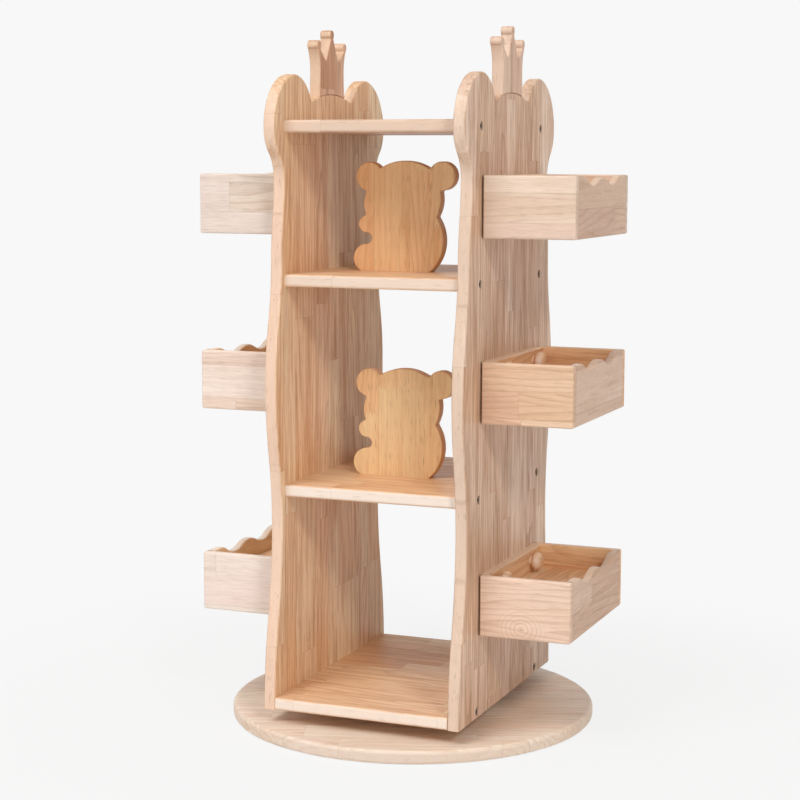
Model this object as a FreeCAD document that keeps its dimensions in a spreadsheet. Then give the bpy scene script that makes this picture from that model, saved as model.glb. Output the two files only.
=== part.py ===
"""A children's wooden revolving bookcase, modelled in millimetres.

The cabinet turns on a flat round base. X runs from the left side panel to the right one, Y runs from
the viewer to the back, Z runs up, and the origin is the middle of the base's underside.
"""
import FreeCAD, Part
import math
import os
import Sketcher

# Every driving dimension has one named cell: alias, value in millimetres (or a count), meaning.
SIZES = [
    ("base_diameter", 550, "round base, across"),
    ("base_thickness", 20, "round base"),
    ("base_edge_round", 6, "round-over of both rims of the base"),
    ("bearing_height", 21, "base top to cabinet underside"),
    ("ball_circle_diameter", 200, "circle through the ball centres"),
    ("ball_diameter", 8, "bearing ball"),
    ("ball_count", 24, "bearing balls, a count"),
    ("race_clearance", 0.3, "ball to groove, and ball to cage pocket"),
    ("groove_depth", 0.8, "ball groove in a bearing ring's face"),
    ("ring_wall", 7, "radial thickness of a bearing ring's wall"),
    ("ring_foot_gap", 3, "bearing ring's wall to the board across from its flange"),
    ("ring_flange_width", 16, "a bearing ring's flange, beyond its wall"),
    ("ring_flange_thickness", 5, "bearing ring's flange"),
    ("cage_clearance", 1.5, "ball cage to each bearing ring"),
    ("cage_rim", 1.7, "ball cage above and below its windows"),
    ("ring_screw_count", 6, "screws in each bearing ring, a count"),
    ("screw_diameter", 4, "shank of the small pan-head screws"),
    ("screw_head_diameter", 8, "pan head"),
    ("screw_head_height", 2.5, "pan head"),
    ("ring_screw_bite", 11, "bearing ring's screw inside the board"),
    ("bear_screw_bite", 18, "divider's screw inside the divider"),
    ("drill_clearance", 0.15, "hole wall to the fastener inside it"),
    ("drill_spare_depth", 1, "hole end to the fastener's tip"),
    ("board_thickness", 18, "side panels, shelves, crowns and bear dividers"),
    ("inner_width", 268, "between the side panels"),
    ("panel_depth", 420, "side panel at its foot, and the bottom board"),
    ("waist_drop", 58, "narrow place of the side panel, below the lower shelf's top"),
    ("waist_depth", 364, "side panel there"),
    ("belly_rise", 146, "wide place of the side panel, above the lower shelf's top"),
    ("belly_depth", 404, "side panel there"),
    ("chest_rise", 20, "upper narrow place, above the upper shelf's top"),
    ("chest_depth", 361, "side panel there"),
    ("neck_drop", 84, "narrowest place, below the top shelf's top"),
    ("neck_depth", 341, "side panel there"),
    ("ear_drop", 11, "widest place of the ears, below the top shelf's top"),
    ("ear_depth", 406, "side panel there"),
    ("valley_rise", 29, "valley between ear and head, above the top shelf's top"),
    ("valley_spread", 150, "between the two valleys"),
    ("valley_round", 5, "radius in the valleys"),
    ("ear_tip_rise", 37, "top of the ears above the valleys"),
    ("ear_tip_spread", 262, "between the tops of the two ears"),
    ("head_rise", 12, "top of the head above the valleys"),
    ("panel_edge_round", 3, "round-over of the side panel's outline"),
    ("shelf_depth", 342, "front to back"),
    ("shelf_edge_round", 4, "round-over of the shelves' front and back"),
    ("bottom_clear_height", 292, "bottom board to lower shelf"),
    ("lower_clear_height", 289, "lower shelf to upper shelf"),
    ("upper_clear_height", 202, "upper shelf to top shelf"),
    ("bolt_inset", 37, "bolts from the shelf's front and back"),
    ("bolt_diameter", 6.5, "connector bolt shank"),
    ("bolt_length", 52, "under the head"),
    ("bolt_head_diameter", 12, "connector bolt head"),
    ("bolt_head_height", 4, "connector bolt head"),
    ("bolt_socket_width", 5, "hexagon socket across the flats"),
    ("bolt_socket_depth", 3, "hexagon socket"),
    ("bolt_sink", 1.5, "head below the panel's face"),
    ("bolt_head_clearance", 0.5, "head to counterbore wall"),
    ("crown_base_width", 91, "crown on the head"),
    ("crown_waist_width", 86, "crown at its narrow place"),
    ("crown_waist_height", 34, "narrow place above the head's top"),
    ("crown_tip_spread", 93, "between the two outer tips"),
    ("crown_tip_diameter", 14, "round tip of each prong"),
    ("crown_side_height", 71, "centre of an outer tip above the head's top"),
    ("crown_middle_rise", 17, "centre of the middle tip above the outer tips' centres"),
    ("crown_notch_drop", 23, "bottom of the notches below the outer tips' centres"),
    ("crown_notch_spread", 44, "between the bottoms of the two notches"),
    ("crown_notch_round", 3, "radius in the bottoms of the notches"),
    ("crown_neck_round", 2.5, "radius where a prong meets its tip"),
    ("crown_edge_round", 2, "round-over of the crown's outline"),
    ("dowel_diameter", 8, "crown dowel"),
    ("dowel_length", 36, "crown dowel"),
    ("dowel_spread", 44, "between the two dowels of a crown"),
    ("bear_width", 161, "bear divider, over all"),
    ("bear_headroom", 39, "upper bear divider to the top shelf"),
    ("bear_corner_round", 3, "radius in the corners of the bear's outline"),
    ("bear_edge_round", 2, "round-over of the bear's outline"),
    ("bear_forward", 31, "middle of the bear's board in front of the shelf's middle"),
    ("bin_width", 268, "bin, along the panel"),
    ("bin_reach", 138, "bin, out from the panel"),
    ("bin_height", 88, "bin, over all"),
    ("bin_wall", 12, "bin wall boards"),
    ("bin_wall_gap", 2, "bin's side walls from the panel, which only the back board touches"),
    ("bin_floor_thickness", 8, "bin floor board"),
    ("bin_floor_lift", 45, "floor board above the walls' lower edges"),
    ("bin_edge_round", 3, "round-over of the bin's edges"),
    ("lower_bin_rise", 103, "underside of the bin above the bottom board's top"),
    ("middle_bin_rise", 100, "underside of the bin above the lower shelf's top"),
    ("upper_bin_rise", 55, "underside of the bin above the upper shelf's top"),
    ("wave_land", 24, "straight stretch at each end of the wavy edge"),
    ("wave_dip_depth", 13, "dips below the rim"),
    ("wave_crest_drop", 3, "middle crest below the rim"),
    ("knob_diameter", 28, "turning knob"),
    ("knob_length", 18, "turning knob"),
    ("knob_neck_diameter", 16, "turning knob where it meets the wall"),
    ("knob_neck_height", 3, "turning knob's neck"),
    ("knob_flat_diameter", 10, "flat end of the turning knob"),
    ("knob_inset", 48, "knob's middle from the bin's end wall"),
    ("knob_drop", 17, "knob's middle below the bin's rim"),
    ("stud_diameter", 6, "threaded stud of a knob"),
    ("stud_cover", 8, "end of the stud to the knob's flat end"),
    ("insert_diameter", 10, "threaded insert in the panel"),
    ("insert_cover", 5, "end of the insert to the panel's inner face"),
]

# The way from one outline point to the next: a line, or an arc whose centre lies level with, or
# straight above or below, the point where it starts or ends.
LINE = "line"
LEVEL_START = "level start"
LEVEL_END = "level end"
ABOVE_START = "above start"
ABOVE_END = "above end"
REVERSED_RULES = {
    LEVEL_START: LEVEL_END,
    LEVEL_END: LEVEL_START,
    ABOVE_START: ABOVE_END,
    ABOVE_END: ABOVE_START,
}

# The bear's outline, counterclockwise from the foot of its back: shares of bear_width from the middle,
# shares of bear_height from the shelf, and the way to the next point, where a number is an arc's bulge.
BEAR_OUTLINE_SHARES = [
    (0.245, 0.000, 0.387),
    (0.307, 0.497, 0.19),
    (0.340, 0.736, 1.92),
    (0.241, 0.923, 0.297),
    (-0.248, 0.929, 1.51),
    (-0.379, 0.728, 0.25),
    (-0.385, 0.503, ABOVE_END),
    (-0.382, 0.347, ABOVE_START),
    (-0.382, 0.245, ABOVE_START),
    (-0.447, 0.000, LINE),
]

# These points of the outline are corners; from the paw to the foot it runs smoothly.
BEAR_CORNERS = slice(1, 7)

# The divider's screws: shares of bear_width from the middle.
BEAR_SCREW_SHARES = (-0.28, 0.08)

# A crown prong meets its round tip at this share of the tip's radius to the side and below the centre.
TIP_NECK_SIDE_SHARE = 0.6
TIP_NECK_DROP_SHARE = 0.8
WHOLE_TIP_BULGE_SHARE = (1 + TIP_NECK_DROP_SHARE) / TIP_NECK_SIDE_SHARE
HALF_TIP_BULGE_SHARE = math.tan(math.atan(WHOLE_TIP_BULGE_SHARE) / 2)

# Heights and places that several pieces share, as formulas of the named cells.
CABINET_BOTTOM = "(sizes.base_thickness + sizes.bearing_height)"
OUTER_FACE = "(sizes.inner_width / 2 + sizes.board_thickness)"
SHELF_HEIGHTS = {"bottom_board": "sizes.board_thickness"}
SHELF_HEIGHTS["lower_shelf"] = "(2 * sizes.board_thickness + sizes.bottom_clear_height)"
SHELF_HEIGHTS["upper_shelf"] = (
    f"({SHELF_HEIGHTS['lower_shelf']} + sizes.lower_clear_height + sizes.board_thickness)")
SHELF_HEIGHTS["top_shelf"] = (
    f"({SHELF_HEIGHTS['upper_shelf']} + sizes.upper_clear_height + sizes.board_thickness)")
VALLEY_HEIGHT = f"({SHELF_HEIGHTS['top_shelf']} + sizes.valley_rise)"
HEAD_HEIGHT = f"({VALLEY_HEIGHT} + sizes.head_rise)"
HEAD_TOP = f"({CABINET_BOTTOM} + {HEAD_HEIGHT})"
HEAD_RADIUS = "(((sizes.valley_spread / 2)^2 + sizes.head_rise^2) / (2 * sizes.head_rise))"
PANEL_STATIONS = {
    "waist": f"{SHELF_HEIGHTS['lower_shelf']} - sizes.waist_drop",
    "belly": f"{SHELF_HEIGHTS['lower_shelf']} + sizes.belly_rise",
    "chest": f"{SHELF_HEIGHTS['upper_shelf']} + sizes.chest_rise",
    "neck": f"{SHELF_HEIGHTS['top_shelf']} - sizes.neck_drop",
    "ear": f"{SHELF_HEIGHTS['top_shelf']} - sizes.ear_drop",
}
BALL_RADIUS = "(sizes.ball_circle_diameter / 2)"
BALL_LEVEL = "(sizes.bearing_height / 2)"
GROOVE_RADIUS = "(sizes.ball_diameter / 2 + sizes.race_clearance)"
HALF_RING_GAP = f"({GROOVE_RADIUS} - sizes.groove_depth)"
HALF_CAGE = f"({HALF_RING_GAP} - sizes.cage_clearance)"
FLANGE_MIDDLE = f"({HALF_RING_GAP} + sizes.ring_wall + sizes.ring_flange_width / 2)"
OUTER_RING_SCREWS = f"({BALL_RADIUS} + {FLANGE_MIDDLE})"
INNER_RING_SCREWS = f"({BALL_RADIUS} - {FLANGE_MIDDLE})"
SCREW_HOLE = "(sizes.screw_diameter + 2 * sizes.drill_clearance)"
RING_SCREW_HOLE_DEPTH = "(sizes.ring_screw_bite + sizes.drill_spare_depth)"
BOLT_SPREAD = "(sizes.shelf_depth - 2 * sizes.bolt_inset)"
BOLT_HOLE = "(sizes.bolt_diameter + 2 * sizes.drill_clearance)"
BOLT_HEAD_SEAT = "(sizes.bolt_sink + sizes.bolt_head_height)"
BOLT_IN_SHELF = f"({BOLT_HEAD_SEAT} + sizes.bolt_length - sizes.board_thickness + sizes.drill_spare_depth)"
STUD_IN_KNOB = "(sizes.knob_length - sizes.stud_cover)"
INSERT_LENGTH = "(sizes.board_thickness - sizes.insert_cover)"
STUD_IN_PANEL = f"({INSERT_LENGTH} - sizes.drill_spare_depth)"
STUD_HOLE = "(sizes.stud_diameter + 2 * sizes.drill_clearance)"
INSERT_HOLE = "(sizes.insert_diameter + 2 * sizes.drill_clearance)"
DOWEL_HOLE = "(sizes.dowel_diameter + 2 * sizes.drill_clearance)"
DOWEL_HOLE_DEPTH = "(sizes.dowel_length / 2 + sizes.drill_spare_depth)"
BEAR_HEIGHT = "(sizes.upper_clear_height - sizes.bear_headroom)"
BIN_END = "(sizes.bin_width / 2 - sizes.bin_wall)"
BIN_HEIGHTS = {
    "lower": f"({SHELF_HEIGHTS['bottom_board']} + sizes.lower_bin_rise)",
    "middle": f"({SHELF_HEIGHTS['lower_shelf']} + sizes.middle_bin_rise)",
    "upper": f"({SHELF_HEIGHTS['upper_shelf']} + sizes.upper_bin_rise)",
}
BEAR_SHELVES = ("lower_shelf", "upper_shelf")
FRONT_AND_BACK = (-1, 1)
SIDES = {"left": -1, "right": 1}

doc = FreeCAD.newDocument("revolving_bookcase")
sheet = doc.addObject("Spreadsheet::Sheet", "sizes")
nodes = []


def fill_sheet():
    for row, (alias, value, meaning) in enumerate(SIZES, start=1):
        sheet.set(f"A{row}", meaning)
        sheet.set(f"B{row}", str(value))
        sheet.setAlias(f"B{row}", alias)
    doc.recompute()


def number(formula):
    return float(sheet.evalExpression(str(formula)))


def count_of(alias):
    return int(round(number(f"sizes.{alias}")))


def bind(item, path, formula):
    item.setExpression(path, str(formula))


# Bodies, sketches and features


def make_body(label):
    body = doc.addObject("PartDesign::Body", label)
    body.Label = label
    return body


def place_body(body, x="0", y="0", z="0"):
    for axis, formula in (("x", x), ("y", y), ("z", z)):
        bind(body, f"Placement.Base.{axis}", formula)


def make_sketch(body, plane, lift=None):
    sketch = body.newObject("Sketcher::SketchObject", f"{body.Name}_sketch")
    planes = {item.Role: item for item in body.Origin.OriginFeatures}
    sketch.AttachmentSupport = [(planes[plane], "")]
    sketch.MapMode = "FlatFace"
    if lift is not None:
        bind(sketch, "AttachmentOffset.Base.z", lift)
    return sketch


def arc_centre(start, end, rule):
    """Centre of the arc from start to end, or None where the way is straight."""
    across = end[0] - start[0]
    along = end[1] - start[1]
    chord_squared = across**2 + along**2
    tiny = math.sqrt(chord_squared) * 1e-6
    if rule in (LEVEL_START, LEVEL_END):
        if abs(across) < tiny:
            return None
        reach = chord_squared / (2 * across)
        if rule == LEVEL_START:
            return start[0] + reach, start[1]
        return end[0] - reach, end[1]
    if rule in (ABOVE_START, ABOVE_END):
        if abs(along) < tiny:
            return None
        reach = chord_squared / (2 * along)
        if rule == ABOVE_START:
            return start[0], start[1] + reach
        return end[0], end[1] - reach
    if rule == LINE or rule == 0:
        return None
    offset = (1 - rule**2) / (4 * rule)
    middle = ((start[0] + end[0]) / 2, (start[1] + end[1]) / 2)
    return middle[0] - along * offset, middle[1] + across * offset


def runs_counterclockwise(start, end, centre, rule):
    if not isinstance(rule, str):
        return rule > 0
    from_start = (start[0] - centre[0], start[1] - centre[1])
    from_end = (end[0] - centre[0], end[1] - centre[1])
    return from_start[0] * from_end[1] - from_start[1] * from_end[0] > 0


def radius_formula(here, there, bulge):
    across = f"(({there[0]}) - ({here[0]}))"
    along = f"(({there[1]}) - ({here[1]}))"
    return f"sqrt({across}^2 + {along}^2) * {(1 + bulge**2) / (4 * abs(bulge))}"


def draw_outline(sketch, knots):
    """Draw a closed outline through knots (x formula, y formula, rule), all bound to the cells."""
    points = [(number(x), number(y)) for x, y, rule in knots]
    ends = []
    extra = []
    for index, (x, y, rule) in enumerate(knots):
        follower = (index + 1) % len(knots)
        start = points[index]
        end = points[follower]
        centre = arc_centre(start, end, rule)
        if centre is None:
            line = Part.LineSegment(FreeCAD.Vector(*start, 0), FreeCAD.Vector(*end, 0))
            sketch.addGeometry(line, False)
            ends.append((1, 2))
            continue
        radius = math.dist(start, centre)
        turns_left = runs_counterclockwise(start, end, centre, rule)
        first, last = (start, end) if turns_left else (end, start)
        angles = [math.atan2(p[1] - centre[1], p[0] - centre[0]) for p in (first, last)]
        circle = Part.Circle(FreeCAD.Vector(*centre, 0), FreeCAD.Vector(0, 0, 1), radius)
        sketch.addGeometry(Part.ArcOfCircle(circle, *angles), False)
        ends.append((1, 2) if turns_left else (2, 1))
        start_end = ends[-1]
        if rule in (LEVEL_START, LEVEL_END):
            tied_end = start_end[0] if rule == LEVEL_START else start_end[1]
            extra.append((Sketcher.Constraint("Horizontal", index, 3, index, tied_end), None))
        elif rule in (ABOVE_START, ABOVE_END):
            tied_end = start_end[0] if rule == ABOVE_START else start_end[1]
            extra.append((Sketcher.Constraint("Vertical", index, 3, index, tied_end), None))
        else:
            formula = radius_formula(knots[index], knots[follower], rule)
            extra.append((Sketcher.Constraint("Radius", index, radius), formula))
    for index in range(len(knots)):
        follower = (index + 1) % len(knots)
        sketch.addConstraint(
            Sketcher.Constraint("Coincident", index, ends[index][1], follower, ends[follower][0]))
    for index, (x, y, rule) in enumerate(knots):
        for axis, formula, place in zip(("DistanceX", "DistanceY"), (x, y), points[index]):
            added = sketch.addConstraint(
                Sketcher.Constraint(axis, -1, 1, index, ends[index][0], place))
            bind(sketch, f"Constraints[{added}]", formula)
    for constraint, formula in extra:
        added = sketch.addConstraint(constraint)
        if formula is not None:
            bind(sketch, f"Constraints[{added}]", formula)


def draw_rectangle(sketch, left, bottom, right, top):
    corners = ((left, bottom), (right, bottom), (right, top), (left, top))
    draw_outline(sketch, [(x, y, LINE) for x, y in corners])


def draw_circles(sketch, places, diameter):
    """Draw a circle at each (x formula, y formula)."""
    for index, (x, y) in enumerate(places):
        centre = FreeCAD.Vector(number(x), number(y), 0)
        circle = Part.Circle(centre, FreeCAD.Vector(0, 0, 1), number(diameter) / 2)
        sketch.addGeometry(circle, False)
        for axis, formula in (("DistanceX", x), ("DistanceY", y)):
            added = sketch.addConstraint(
                Sketcher.Constraint(axis, -1, 1, index, 3, number(formula)))
            bind(sketch, f"Constraints[{added}]", formula)
        added = sketch.addConstraint(Sketcher.Constraint("Diameter", index, number(diameter)))
        bind(sketch, f"Constraints[{added}]", diameter)


def mirrored(half):
    """Close an outline that is alike on both sides; half runs from the foot up to the middle line."""
    knots = list(half)
    for index in range(len(half) - 1, 0, -1):
        rule = half[index - 1][2]
        knots[-1] = (knots[-1][0], knots[-1][1], REVERSED_RULES.get(rule, rule))
        knots.append((f"-({half[index - 1][0]})", half[index - 1][1], LINE))
    return knots


def swing(here, there, rule_before, rule_after):
    """The knots of a smooth swing between two places: two equal arcs that meet halfway."""
    middle = (f"(({here[0]}) + ({there[0]})) / 2", f"(({here[1]}) + ({there[1]})) / 2")
    return [(here[0], here[1], rule_before), (middle[0], middle[1], rule_after)]


def pad(body, sketch, length, towards_minus=False):
    feature = body.newObject("PartDesign::Pad", f"{body.Name}_pad")
    feature.Profile = sketch
    feature.Reversed = towards_minus
    bind(feature, "Length", length)
    doc.recompute()
    return feature


def pocket(body, sketch, depth, towards_plus=False):
    before = body.Shape.Volume
    feature = body.newObject("PartDesign::Pocket", f"{body.Name}_pocket")
    feature.Profile = sketch
    feature.Reversed = towards_plus
    bind(feature, "Length", depth)
    doc.recompute()
    if not body.Shape.Volume < before:
        raise ValueError(f"{feature.Name} cuts nothing")
    return feature


def revolve(body, knots):
    """Turn an outline, drawn with x as radius and y as height, about the body's Z axis."""
    sketch = make_sketch(body, "XZ_Plane")
    draw_outline(sketch, knots)
    feature = body.newObject("PartDesign::Revolution", f"{body.Name}_turned")
    feature.Profile = sketch
    feature.ReferenceAxis = (sketch, ["V_Axis"])
    doc.recompute()
    return feature


def round_over(body, radius, chosen):
    """Fillet the edges of the body so far for which chosen(edge) is true."""
    base = body.Tip
    names = [f"Edge{i}" for i, edge in enumerate(base.Shape.Edges, start=1) if chosen(edge)]
    feature = body.newObject("PartDesign::Fillet", f"{body.Name}_fillet")
    feature.Base = (base, names)
    bind(feature, "Radius", radius)
    doc.recompute()
    return feature


def lies_at(edge, axis, place):
    """True where the whole edge keeps one coordinate."""
    box = edge.BoundBox
    low, high = {"x": (box.XMin, box.XMax), "y": (box.YMin, box.YMax), "z": (box.ZMin, box.ZMax)}[axis]
    span = number("sizes.board_thickness") * 1e-4
    return abs(low - place) < span and abs(high - place) < span


def keep(item):
    nodes.append(item)
    return item


def keep_group(label, pattern, placements):
    """One node that holds the same solid at several places."""
    copies = []
    for placement in placements:
        solid = pattern.Shape.copy()
        solid.Placement = placement.multiply(solid.Placement)
        copies.append(solid)
    group = doc.addObject("Part::Feature", label)
    group.Label = label
    group.Shape = Part.makeCompound(copies)
    return keep(group)


def placement_at(x, y, z, axis="z"):
    """Stand a pattern, drawn with its head towards +Z, at a place with its head towards an axis."""
    turns = {
        "z": FreeCAD.Rotation(),
        "-z": FreeCAD.Rotation(FreeCAD.Vector(1, 0, 0), 180),
        "x": FreeCAD.Rotation(FreeCAD.Vector(0, 1, 0), 90),
        "-x": FreeCAD.Rotation(FreeCAD.Vector(0, 1, 0), -90),
    }
    return FreeCAD.Placement(FreeCAD.Vector(number(x), number(y), number(z)), turns[axis])


def around_circle(radius, count):
    """Formulas of the places of equal steps round a circle."""
    steps = [360 * (step + 0.5) / count for step in range(count)]
    return [(f"{radius} * cos({turn} deg)", f"{radius} * sin({turn} deg)") for turn in steps]


# The base and the bearing


def build_base_disc():
    body = make_body("base_disc")
    outline = make_sketch(body, "XY_Plane")
    draw_circles(outline, [("0", "0")], "sizes.base_diameter")
    pad(body, outline, "sizes.base_thickness")
    round_over(body, "sizes.base_edge_round", lambda edge: edge.Closed)
    holes = make_sketch(body, "XY_Plane", "sizes.base_thickness")
    draw_circles(holes, around_circle(OUTER_RING_SCREWS, count_of("ring_screw_count")), SCREW_HOLE)
    pocket(body, holes, RING_SCREW_HOLE_DEPTH)
    keep(body)


def ring_section(side, foot, flange_way):
    """Section of a bearing ring: side is out (1) or in (-1), the flange lies at foot."""
    face = f"({BALL_RADIUS} + {side} * {HALF_RING_GAP})"
    wall = f"({face} + {side} * sizes.ring_wall)"
    rim = f"({wall} + {side} * sizes.ring_flange_width)"
    flange = f"({foot} + {flange_way} * sizes.ring_flange_thickness)"
    top = f"({foot} + {flange_way} * (sizes.bearing_height - sizes.ring_foot_gap))"
    lip = f"sqrt({GROOVE_RADIUS}^2 - {HALF_RING_GAP}^2)"
    groove_near = f"({BALL_LEVEL} - {flange_way} * {lip})"
    groove_far = f"({BALL_LEVEL} + {flange_way} * {lip})"
    half_angle = math.asin(number(lip) / number(GROOVE_RADIUS))
    bulge = side * flange_way * math.tan(half_angle / 2)
    return [
        (face, foot, LINE),
        (face, groove_near, bulge),
        (face, groove_far, LINE),
        (face, top, LINE),
        (wall, top, LINE),
        (wall, flange, LINE),
        (rim, flange, LINE),
        (rim, foot, LINE),
    ]


def build_ring(label, side, foot, flange_way, screw_circle):
    body = make_body(label)
    revolve(body, ring_section(side, foot, flange_way))
    holes = make_sketch(body, "XY_Plane", foot)
    draw_circles(holes, around_circle(screw_circle, count_of("ring_screw_count")), SCREW_HOLE)
    pocket(body, holes, "sizes.ring_flange_thickness", towards_plus=flange_way > 0)
    place_body(body, z="sizes.base_thickness")
    keep(body)


def build_cage():
    body = make_body("bearing_cage")
    low = f"({BALL_LEVEL} - {GROOVE_RADIUS} - sizes.cage_rim)"
    high = f"({BALL_LEVEL} + {GROOVE_RADIUS} + sizes.cage_rim)"
    near = f"({BALL_RADIUS} - {HALF_CAGE})"
    far = f"({BALL_RADIUS} + {HALF_CAGE})"
    revolve(body, [(near, low, LINE), (far, low, LINE), (far, high, LINE), (near, high, LINE)])
    window = make_sketch(body, "YZ_Plane")
    draw_circles(window, [("0", BALL_LEVEL)], f"2 * {GROOVE_RADIUS}")
    cut = pocket(body, window, f"{far} + {HALF_CAGE}", towards_plus=True)
    ring_of_windows = body.newObject("PartDesign::PolarPattern", "cage_windows")
    ring_of_windows.Originals = [cut]
    axes = {item.Role: item for item in body.Origin.OriginFeatures}
    ring_of_windows.Axis = (axes["Z_Axis"], [""])
    ring_of_windows.Angle = 360
    bind(ring_of_windows, "Occurrences", "sizes.ball_count")
    body.Tip = ring_of_windows
    place_body(body, z="sizes.base_thickness")
    doc.recompute()
    keep(body)


def build_balls():
    ball = doc.addObject("Part::Sphere", "ball_pattern")
    bind(ball, "Radius", "sizes.ball_diameter / 2")
    doc.recompute()
    level = f"sizes.base_thickness + {BALL_LEVEL}"
    places = []
    count = count_of("ball_count")
    for step in range(count):
        turn = f"{360 * step / count} deg"
        places.append(placement_at(f"{BALL_RADIUS} * cos({turn})", f"{BALL_RADIUS} * sin({turn})", level))
    keep_group("bearing_balls", ball, places)


def screw_pattern(label, length):
    """A pan-head screw: its head's seat is at height zero, and its shank runs down."""
    body = make_body(label)
    head = "sizes.screw_head_diameter / 2"
    shank = "sizes.screw_diameter / 2"
    tip = f"({length} - {shank})"
    revolve(body, [
        ("0", f"-({length})", LINE),
        (shank, f"-{tip}", LINE),
        (shank, "0", LINE),
        (head, "0", LINE),
        (head, "sizes.screw_head_height / 2", ABOVE_END),
        ("0", "sizes.screw_head_height", LINE),
    ])
    return body


def build_ring_screws():
    length = "(sizes.ring_flange_thickness + sizes.ring_screw_bite)"
    pattern = screw_pattern("ring_screw_pattern", length)
    count = count_of("ring_screw_count")
    top = "sizes.base_thickness + sizes.ring_flange_thickness"
    places = [placement_at(x, y, top) for x, y in around_circle(OUTER_RING_SCREWS, count)]
    keep_group("base_ring_screws", pattern, places)
    under = f"{CABINET_BOTTOM} - sizes.ring_flange_thickness"
    places = [placement_at(x, y, under, "-z") for x, y in around_circle(INNER_RING_SCREWS, count)]
    keep_group("cabinet_ring_screws", pattern, places)


# The cabinet's boards


def drill_shelf_ends(body):
    """Bolt holes in both ends of a shelf whose underside is its own zero height."""
    places = [(f"{way} * {BOLT_SPREAD} / 2", "sizes.board_thickness / 2") for way in FRONT_AND_BACK]
    for side in SIDES.values():
        holes = make_sketch(body, "YZ_Plane", f"{side} * sizes.inner_width / 2")
        draw_circles(holes, places, BOLT_HOLE)
        pocket(body, holes, BOLT_IN_SHELF, towards_plus=side < 0)


def bear_screw_places(forward):
    return [(f"{share} * sizes.bear_width", f"-{forward}") for share in BEAR_SCREW_SHARES]


def build_shelf(label, depth):
    body = make_body(label)
    outline = make_sketch(body, "XY_Plane")
    half_width = "sizes.inner_width / 2"
    draw_rectangle(outline, f"-{half_width}", f"-{depth} / 2", half_width, f"{depth} / 2")
    pad(body, outline, "sizes.board_thickness")
    faces = [way * number(depth) / 2 for way in FRONT_AND_BACK]
    half_length = number(half_width)
    round_over(body, "sizes.shelf_edge_round",
               lambda edge: edge.Length > half_length and any(lies_at(edge, "y", face) for face in faces))
    drill_shelf_ends(body)
    if label in BEAR_SHELVES:
        holes = make_sketch(body, "XY_Plane")
        draw_circles(holes, bear_screw_places("sizes.bear_forward"), SCREW_HOLE)
        pocket(body, holes, "sizes.board_thickness", towards_plus=True)
    if label == "bottom_board":
        holes = make_sketch(body, "XY_Plane")
        draw_circles(holes, around_circle(INNER_RING_SCREWS, count_of("ring_screw_count")), SCREW_HOLE)
        pocket(body, holes, RING_SCREW_HOLE_DEPTH, towards_plus=True)
    place_body(body, z=f"{CABINET_BOTTOM} + {SHELF_HEIGHTS[label]} - sizes.board_thickness")
    keep(body)


def panel_outline():
    spots = [("sizes.panel_depth / 2", "0")]
    for name, height in PANEL_STATIONS.items():
        spots.append((f"sizes.{name}_depth / 2", height))
    half = []
    for here, there in zip(spots, spots[1:]):
        half += swing(here, there, LEVEL_START, LEVEL_END)
    half.append((*spots[-1], LEVEL_START))
    half.append(("sizes.ear_tip_spread / 2", f"{VALLEY_HEIGHT} + sizes.ear_tip_rise", ABOVE_START))
    half.append(("sizes.valley_spread / 2", VALLEY_HEIGHT, ABOVE_END))
    half.append(("0", HEAD_HEIGHT, LINE))
    return mirrored(half)


def build_panel(side_name):
    side = SIDES[side_name]
    body = make_body(f"{side_name}_panel")
    outline = make_sketch(body, "YZ_Plane")
    draw_outline(outline, panel_outline())
    pad(body, outline, "sizes.board_thickness")
    valley = number(VALLEY_HEIGHT)
    round_over(body, "sizes.valley_round", lambda edge: lies_at(edge, "z", valley))
    faces = (0, number("sizes.board_thickness"))
    round_over(body, "sizes.panel_edge_round",
               lambda edge: any(lies_at(edge, "x", face) for face in faces) and not lies_at(edge, "z", 0))
    outer = "0" if side < 0 else "sizes.board_thickness"
    bolts = [(f"{way} * {BOLT_SPREAD} / 2", f"{height} - sizes.board_thickness / 2")
             for height in SHELF_HEIGHTS.values() for way in FRONT_AND_BACK]
    holes = make_sketch(body, "YZ_Plane", outer)
    draw_circles(holes, bolts, BOLT_HOLE)
    pocket(body, holes, "sizes.board_thickness", towards_plus=side < 0)
    seats = make_sketch(body, "YZ_Plane", outer)
    draw_circles(seats, bolts, "sizes.bolt_head_diameter + 2 * sizes.bolt_head_clearance")
    pocket(body, seats, BOLT_HEAD_SEAT, towards_plus=side < 0)
    inserts = make_sketch(body, "YZ_Plane", outer)
    studs = [place for height in BIN_HEIGHTS.values() for place in knob_places(height)]
    draw_circles(inserts, studs, INSERT_HOLE)
    pocket(body, inserts, INSERT_LENGTH, towards_plus=side < 0)
    dowels = make_sketch(body, "XY_Plane", HEAD_HEIGHT)
    draw_circles(dowels, dowel_places(), DOWEL_HOLE)
    pocket(body, dowels, DOWEL_HOLE_DEPTH)
    place_body(body, x="sizes.inner_width / 2" if side > 0 else f"-{OUTER_FACE}", z=CABINET_BOTTOM)
    keep(body)


def dowel_places():
    return [("sizes.board_thickness / 2", f"{way} * sizes.dowel_spread / 2") for way in FRONT_AND_BACK]


def crown_neck_places():
    """Corners on one half of the crown's outline where a prong meets its round tip."""
    neck_side = f"{TIP_NECK_SIDE_SHARE} * sizes.crown_tip_diameter / 2"
    neck_drop = f"{TIP_NECK_DROP_SHARE} * sizes.crown_tip_diameter / 2"
    half_spread = "sizes.crown_tip_spread / 2"
    outer = (f"{half_spread} + {neck_side}", f"sizes.crown_side_height - {neck_drop}")
    inner = (f"{half_spread} - {neck_side}", f"sizes.crown_side_height - {neck_drop}")
    middle = (neck_side, f"sizes.crown_side_height + sizes.crown_middle_rise - {neck_drop}")
    return outer, inner, middle


def crown_notch_place():
    return "sizes.crown_notch_spread / 2", "sizes.crown_side_height - sizes.crown_notch_drop"


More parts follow.
